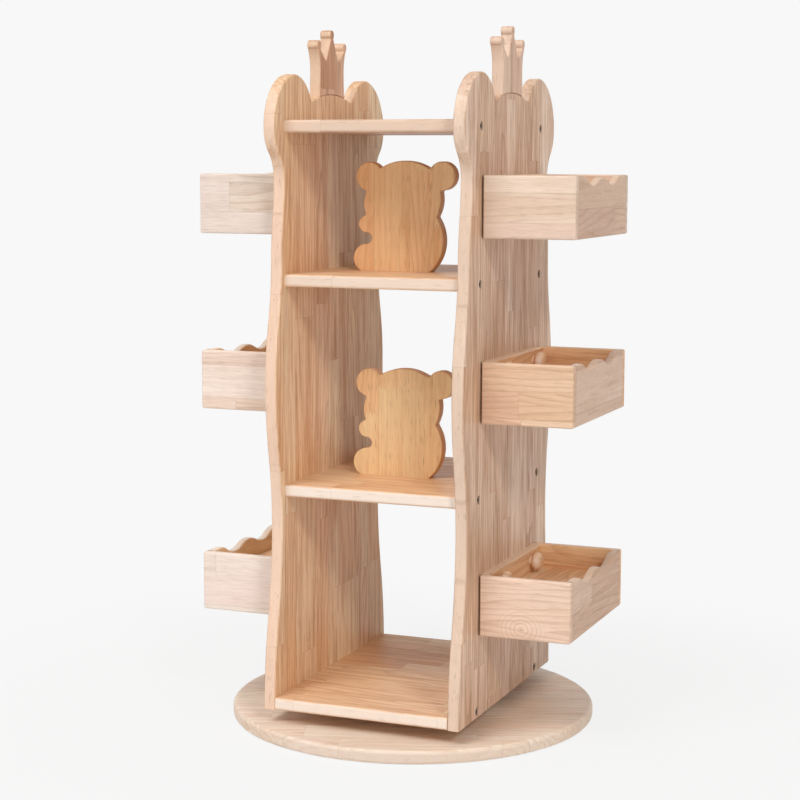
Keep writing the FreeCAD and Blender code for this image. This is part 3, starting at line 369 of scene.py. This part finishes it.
put(board, made["Color"], colour)
put(board, made["Roughness"], soft_step(board, grain["Streak"], *ROUGH_STEP, SMOOTHEST, ROUGHEST))
deep = calc(board, "ADD", grain["Pores"], given["Shade Line"])
sunk = calc(board, "MULTIPLY_ADD", blocks["Seam"], SEAM_DEPTH, deep)
height = calc(board, "MULTIPLY_ADD", grain["Streak"], -STREAK_DEPTH, calc(board, "MULTIPLY", sunk, -1.0))
put(board, made["Height"], height)
print("group", board.name, len(board.nodes), "nodes")

# %% [markdown]
# ## Stock for the boards
#
# Every board was sawn from other trees, so the bookcase has bleached, beige, honey and warm boards,
# and the bears have the warmest. Some stocks are also painted light and shade: the warm stocks of
# the pieces inside the cabinet and the bins are partly painted warm shade, and a few brighter stocks
# are partly painted light on faces that lie in shade. A stock is one colour, written as it looks
# on screen, and its shades are shares of that colour. A shade that would be too bright is dimmed as
# a whole, which keeps its hue. A glow above one keeps the dark shades of warm boards red. The narrow
# edges of a board are sawn through other rings than its face and have a colour of their own, and
# how much it differs from the face is partly painted light, matched to how the edges are lit.

# %% Stock colours
BRIGHTEST = 0.95
SHADES = {
    "Pale": (1.20, 1.25, 1.31), "Honey": (0.86, 0.69, 0.54), "Rosy": (1.03, 0.96, 0.99),
    "Straw": (1.03, 1.0, 0.95), "Streak": (0.60, 0.44, 0.33), "Pore": (0.42, 0.32, 0.25),
}
GLOWING = ("Honey", "Streak")


def screen_colour(red, green, blue):
    def linear(value):
        share = value / 255
        return share / 12.92 if share <= 0.04045 else ((share + 0.055) / 1.055) ** 2.4
    return (linear(red), linear(green), linear(blue), 1.0)


def stock(middle, edge, glow=1.0):
    colours = {"Edge": screen_colour(*edge)}
    for name, (red, green, blue) in SHADES.items():
        shares = (red * glow if name in GLOWING else red, green, blue)
        shade = [channel * share for channel, share in zip(screen_colour(*middle), shares)]
        too_bright = max(1.0, max(shade) / BRIGHTEST)
        colours[name] = (*(channel / too_bright for channel in shade), 1.0)
    return colours


STOCKS = {
    "bleached": stock((238, 219, 205), (245, 230, 216)),
    "linen": stock((243, 230, 219), (245, 232, 220)),
    "sand": stock((229, 217, 206), (238, 224, 212)),
    "oat": stock((225, 203, 184), (234, 212, 194)),
    "beige": stock((227, 199, 176), (228, 202, 182)),
    "putty": stock((213, 182, 158), (218, 191, 168)),
    "honey": stock((222, 184, 155), (234, 204, 178)),
    "amber": stock((225, 193, 165), (234, 206, 182)),
    "rose": stock((242, 217, 200), (240, 216, 198)),
    "ash": stock((233, 206, 183), (228, 202, 182)),
    "disc": stock((252, 240, 224), (224, 205, 190), 1.06),
    "warm": stock((250, 222, 184), (246, 233, 222), 1.08),
    "cream": stock((250, 222, 184), (236, 216, 201), 1.08),
    "tan": stock((251, 226, 189), (238, 206, 185), 1.08),
    "chest": stock((246, 214, 174), (238, 210, 184), 1.08),
    "bear": stock((252, 222, 172), (244, 202, 154), 1.18),
}
print("stocks:", ", ".join(STOCKS))

# %% [markdown]
# ## The board material
#
# The material reads Object coordinates, which are metres of the shared frame, and turns them so
# that X runs along the grain. The surface normal tells a face from an edge and from end grain.

# %% Board material
FACING_POWER = 3.0
BUMP = {"Strength": 0.3, "Distance": 0.0004}
LACQUER_SHINE = 0.35


def turned_about_z(tree, vector, angle):
    rotate = add_node(tree, "ShaderNodeVectorRotate", {"Vector": vector, "Angle": -angle},
                      rotation_type="Z_AXIS")
    return rotate.outputs[0]


def board_material(name, stock_name, along, across, seed, joint=None, grain_turn=0.0, **values):
    material = bpy.data.materials.new(name)
    material.use_nodes = True
    tree = material.node_tree
    shader = tree.nodes["Principled BSDF"]
    coordinates = add_node(tree, "ShaderNodeTexCoord").outputs
    spot = split_vector(tree, turned_about_z(tree, coordinates["Object"], grain_turn))
    through = next(axis for axis in "XYZ" if axis not in (along, across))
    turned = join_vector(tree, spot[along], spot[across], spot[through])
    facing = split_vector(tree, turned_about_z(tree, coordinates["Normal"], grain_turn))
    masks = {
        "End Grain": calc(tree, "POWER", calc(tree, "ABSOLUTE", facing[along]), FACING_POWER),
        "Board Edge": calc(tree, "POWER", calc(tree, "ABSOLUTE", facing[across]), FACING_POWER)}
    # A shade line paints shade in a thin band at a given place along the grain.
    if joint:
        masks["Shade Line"] = soft_step(tree, calc(tree, "ABSOLUTE", spot[along]), *joint)
    wood = place_group(tree, board, {
        "Vector": turned, "Seed": seed, **masks, **STOCKS[stock_name], **values})
    bump = add_node(tree, "ShaderNodeBump", {**BUMP, "Height": wood["Height"]})
    put(tree, shader.inputs["Base Color"], wood["Color"])
    put(tree, shader.inputs["Roughness"], wood["Roughness"])
    put(tree, shader.inputs["Normal"], bump.outputs[0])
    shader.inputs["Specular IOR Level"].default_value = LACQUER_SHINE
    return material


def dress(node, material):
    piece = nodes[node]
    if not piece.material_slots:
        piece.data.materials.append(material)
    for slot in piece.material_slots:
        slot.material = material


print("board material ready")

# %% [markdown]
# ## Dress every wooden piece
#
# The grain runs upright in the side panels, crowns and bears, from side to side in the shelves,
# lengthways in the boards of the bins, and a little askew in the round base. Every piece gets its
# own seed, so that no two boards repeat. Two boards have a knot. Each bin's front has a thin line of
# painted shade where it meets the side walls, and the end of a side wall next to the panel is painted
# dark as shade in the narrow gap there.

# %% Grain and stock of each piece
BIN_BOARDS = {"near_wall": "XZ", "far_wall": "XZ", "front": "YZ", "back": "YZ", "floor": "YX"}
grain_of = {"base_disc": "XY", "crown_dowels": "ZY", "bin_knobs": "XY"}
for shelf in ("bottom_board", "lower_shelf", "upper_shelf", "top_shelf"):
    grain_of[shelf] = "XY"
for bear in ("lower_bear_divider", "upper_bear_divider"):
    grain_of[bear] = "ZX"
for side in ("left", "right"):
    grain_of[f"{side}_panel"] = "ZY"
    grain_of[f"{side}_crown"] = "ZY"
    for level in ("lower", "middle", "upper"):
        for bin_board, axes in BIN_BOARDS.items():
            grain_of[f"{side}_{level}_bin_{bin_board}"] = axes
# Some stocks here are partly painted light and shade: the warm stocks of the left panel, the shelves inside
# the cabinet, the bottom board and the knobs are partly painted warm shade, and the brighter stocks of the
# left bins' fronts and the upper right bin's far wall are partly painted light on faces that lie in shade.
STOCK_OF = {
    "base_disc": "disc", "bin_knobs": "warm", "bottom_board": "warm", "lower_shelf": "warm",
    "upper_shelf": "cream", "lower_bear_divider": "bear", "upper_bear_divider": "bear",
    "left_panel": "tan", "right_panel": "ash", "left_crown": "honey",
    "left_lower_bin_near_wall": "linen", "left_middle_bin_near_wall": "bleached",
    "left_upper_bin_near_wall": "sand", "right_lower_bin_near_wall": "rose",
    "right_middle_bin_near_wall": "amber", "right_upper_bin_near_wall": "oat",
    "left_lower_bin_front": "warm", "left_middle_bin_front": "warm", "left_upper_bin_front": "warm",
    "right_upper_bin_far_wall": "linen",
}
print(len(grain_of), "wooden nodes to dress")

# %% Wooden pieces
# Painted shade: a thin dark line on each bin's front where it meets the side walls.
FRONT_JOINT_SHADE = (0.1208, 0.122)
# Painted shade at the end of a side wall, where it lies in the narrow gap beside the panel.
PANEL_GAP_SHADE = (0.1568, 0.1542)
SEED_STEP = 3.37
ONE_PIECE = {"Strip Width": 9.0, "Block Length": 9.0}
FINGERS = {"Finger Length": 0.008}
BOLD = {"Honey Share": 0.7, "Streak Strength": 1.2, "Ring Strength": 1.25, "Pore Strength": 0.8}
CALM = {"Honey Share": 0.5, "Streak Strength": 0.27, "Ring Strength": 0.6}
BEAR_FIGURE = {"Streak Strength": 0.5, "Ring Strength": 0.6, "Pore Strength": 0.95}
SPECIAL = {
    "base_disc": {"grain_turn": 0.33, "Honey Share": 0.4, "Streak Strength": 0.5, "Ring Strength": 0.7},
    "left_panel": {"Knot Place": (0.1187, -0.0944, -0.134), "Knot Reach": 0.022, **BOLD},
    "right_panel": BOLD,
    "right_lower_bin_near_wall": {
        "Knot Place": (0.2173, 0.1771, -0.134), "Knot Reach": 0.045, **ONE_PIECE},
}
for number, (node, axes) in enumerate(grain_of.items()):
    values = dict(SPECIAL.get(node, {}))
    plain = "beige"
    joint = None
    # Backs, floors and far walls take the warm chest stock, which is partly painted warm shade for the
    # insides of the bins.
    if node.endswith(("_bin_back", "_bin_floor", "_far_wall")):
        plain = "chest"
    if node.endswith("_wall"):
        joint = PANEL_GAP_SHADE
    if node.endswith("_near_wall"):
        values.update(CALM)
    if node.endswith("_bin_front"):
        plain = "putty"
        joint = FRONT_JOINT_SHADE
        values.update({**CALM, **FINGERS})
    if node.endswith("_bear_divider"):
        values.update({**BEAR_FIGURE, **FINGERS})
    stock_name = STOCK_OF.get(node, plain)
    dress(node, board_material(f"{node}_wood", stock_name, *axes, number * SEED_STEP, joint, **values))
print("dressed", len(grain_of), "wooden nodes")

# %% [markdown]
# ## Metal and plastic
#
# The bearing's rings are turned aluminium, its balls polished steel, its cage moulded plastic. The
# screws and the connector bolts are zinc plated, and the threaded inserts are brass. A little noise
# in colour and roughness keeps them from looking like plain numbers.

# %% Metals
SPECKLE_DETAIL = 4.0
SPECKLE_STEP = (0.3, 0.7)


def metal_material(name, colour, dark, rough_low, rough_high, metallic=1.0, scale=900.0):
    material = bpy.data.materials.new(name)
    material.use_nodes = True
    tree = material.node_tree
    shader = tree.nodes["Principled BSDF"]
    spot = add_node(tree, "ShaderNodeTexCoord").outputs["Object"]
    noise = add_node(tree, "ShaderNodeTexNoise", {"Vector": spot, "Scale": scale, "Detail": SPECKLE_DETAIL})
    speckle = noise.outputs[0]
    tone = mix_colour(tree, speckle, screen_colour(*dark), screen_colour(*colour))
    put(tree, shader.inputs["Base Color"], tone)
    roughness = soft_step(tree, speckle, *SPECKLE_STEP, rough_low, rough_high)
    put(tree, shader.inputs["Roughness"], roughness)
    shader.inputs["Metallic"].default_value = metallic
    return material


aluminium = metal_material("turned_aluminium", (205, 206, 208), (180, 181, 184), 0.28, 0.42)
ball_steel = metal_material("ball_steel", (214, 214, 216), (190, 190, 193), 0.08, 0.16)
zinc = metal_material("zinc_plate", (190, 190, 188), (150, 150, 150), 0.25, 0.45)
bolt_zinc = metal_material("bolt_zinc", (150, 144, 137), (104, 99, 93), 0.22, 0.4)
brass = metal_material("turned_brass", (206, 176, 108), (176, 142, 80), 0.25, 0.4)
cage_plastic = metal_material("cage_plastic", (226, 223, 214), (210, 206, 196), 0.45, 0.6,
                              metallic=0.0, scale=400.0)
METAL_NODES = {
    "bearing_outer_ring": aluminium, "bearing_inner_ring": aluminium, "bearing_balls": ball_steel,
    "bearing_cage": cage_plastic, "base_ring_screws": zinc, "cabinet_ring_screws": zinc,
    "bear_screws": zinc, "left_shelf_bolts": bolt_zinc, "right_shelf_bolts": bolt_zinc,
    "knob_studs": zinc, "panel_inserts": brass,
}
for node, finish in METAL_NODES.items():
    dress(node, finish)
left_plain = sorted(set(nodes) - set(METAL_NODES) - set(grain_of))
print("dressed", len(METAL_NODES), "metal and plastic nodes, left plain:", left_plain)

# %% [markdown]
# ## A pale studio
#
# The photograph is a cut-out on near white. A large floor and the world show that white to the
# camera and to mirror-like rays, and light the wood as a plain bright room does. The floor keeps
# a soft part of the shadow near the object, and far away it is the world's white, so that no
# horizon shows.

# %% Floor and world
BACKDROP = (0.939, 0.939, 0.939, 1.0)
PAPER = (0.86, 0.86, 0.86, 1.0)
ROOM = {"Color": (1.0, 0.99, 0.975, 1.0), "Strength": 0.34}
FLOOR_REACH = 30.0
FLOOR_HEIGHT = -0.0005
SHADOW_REACH = (0.4, 1.1)
WHITE_IN_SHADOW = 0.88
floor_mesh = bpy.data.meshes.new("studio_floor")
corners = [(x * FLOOR_REACH, y * FLOOR_REACH, FLOOR_HEIGHT)
           for x, y in ((-1, -1), (1, -1), (1, 1), (-1, 1))]
floor_mesh.from_pydata(corners, [], [(0, 1, 2, 3)])
floor = bpy.data.objects.new("studio_floor", floor_mesh)
bpy.context.scene.collection.objects.link(floor)


def seen_directly(tree):
    rays = add_node(tree, "ShaderNodeLightPath").outputs
    mirror = calc(tree, "MAXIMUM", rays["Is Glossy Ray"], rays["Is Transmission Ray"])
    return calc(tree, "MAXIMUM", rays["Is Camera Ray"], mirror)


paper = bpy.data.materials.new("studio_paper")
paper.use_nodes = True
tree = paper.node_tree
tree.nodes.remove(tree.nodes["Principled BSDF"])
matt = add_node(tree, "ShaderNodeBsdfDiffuse", {"Color": PAPER}).outputs[0]
glow = add_node(tree, "ShaderNodeEmission", {"Color": BACKDROP}).outputs[0]
from_middle = vector_length(tree, add_node(tree, "ShaderNodeTexCoord").outputs["Object"])
whiteness = soft_step(tree, from_middle, *SHADOW_REACH, WHITE_IN_SHADOW, 1.0)
white_share = calc(tree, "MULTIPLY", seen_directly(tree), whiteness)
mixed = add_node(tree, "ShaderNodeMixShader", {0: white_share, 1: matt, 2: glow}).outputs[0]
put(tree, tree.nodes["Material Output"].inputs["Surface"], mixed)
floor_mesh.materials.append(paper)

world = bpy.data.worlds.new("studio_world")
bpy.context.scene.world = world
world.use_nodes = True
tree = world.node_tree
room = add_node(tree, "ShaderNodeBackground", ROOM).outputs[0]
white = add_node(tree, "ShaderNodeBackground", {"Color": BACKDROP, "Strength": 1.0}).outputs[0]
both = add_node(tree, "ShaderNodeMixShader", {0: seen_directly(tree), 1: room, 2: white}).outputs[0]
put(tree, tree.nodes["World Output"].inputs["Surface"], both)
print("floor and world ready")

# %% [markdown]
# ## Lamps
#
# The shadows under the bins and shelves show where the light came from: a key lamp from the front,
# right and above, a broad one high on the left, and weak fills from front, right and top. Each
# is placed by its direction, as on a stand around the object, and far enough away that top and
# base get about the same light. The two lamps on the right are a little warmer than the rest.

# %% Lamps
LAMP_TARGET = Vector((0.0, 0.0, 0.5))
WARM_LIGHT = (1.0, 0.96, 0.91)
FRONT_LIGHT = (1.0, 0.99, 0.97)
WHITE_LIGHT = (1.0, 0.995, 0.98)


def soft_lamp(name, azimuth, elevation, away, size, watts, colour):
    turn = math.radians(azimuth)
    lift = math.radians(elevation)
    outward = Vector((math.cos(lift) * math.sin(turn), -math.cos(lift) * math.cos(turn), math.sin(lift)))
    lamp = bpy.data.lights.new(name, "AREA")
    lamp.shape = "DISK"
    lamp.size = size
    lamp.energy = watts
    lamp.color = colour
    holder = bpy.data.objects.new(name, lamp)
    holder.location = LAMP_TARGET + outward * away
    holder.rotation_euler = outward.to_track_quat("Z", "Y").to_euler()
    bpy.context.scene.collection.objects.link(holder)
    print(name, [round(v, 2) for v in holder.location])


soft_lamp("key_front_right", azimuth=43, elevation=34, away=18.0, size=3.6, watts=900.0, colour=WARM_LIGHT)
soft_lamp("high_left", azimuth=-25, elevation=55, away=18.0, size=7.5, watts=1400.0, colour=WHITE_LIGHT)
soft_lamp("front_fill", azimuth=10, elevation=3, away=12.0, size=3.2, watts=60.0, colour=FRONT_LIGHT)
soft_lamp("right_fill", azimuth=50, elevation=6, away=12.0, size=3.2, watts=80.0, colour=WARM_LIGHT)
soft_lamp("top", azimuth=0, elevation=88, away=15.0, size=7.5, watts=225.0, colour=WHITE_LIGHT)

# %% [markdown]
# ## The camera
#
# The view was found by fitting a camera to measured points of the photograph: a long lens, a
# little right of the front and a little above.

# %% Camera
CAMERA_PLACE = (1.0525, -2.6735, 0.8419)
CAMERA_AZIMUTH = 0.3825
CAMERA_DOWN = 0.1252
CAMERA_ROLL = 0.0032
camera_data = bpy.data.cameras.new("camera")
camera_data.sensor_width = 36.0
camera_data.lens = 86.38
camera = bpy.data.objects.new("camera", camera_data)
look = Matrix.Rotation(CAMERA_AZIMUTH, 4, "Z") @ Matrix.Rotation(math.pi / 2 - CAMERA_DOWN, 4, "X")
look = look @ Matrix.Rotation(CAMERA_ROLL, 4, "Z")
camera.matrix_world = Matrix.Translation(CAMERA_PLACE) @ look
bpy.context.scene.collection.objects.link(camera)
bpy.context.scene.camera = camera
bpy.context.scene.view_settings.view_transform = "Standard"
print("camera at", [round(v, 3) for v in camera.location])
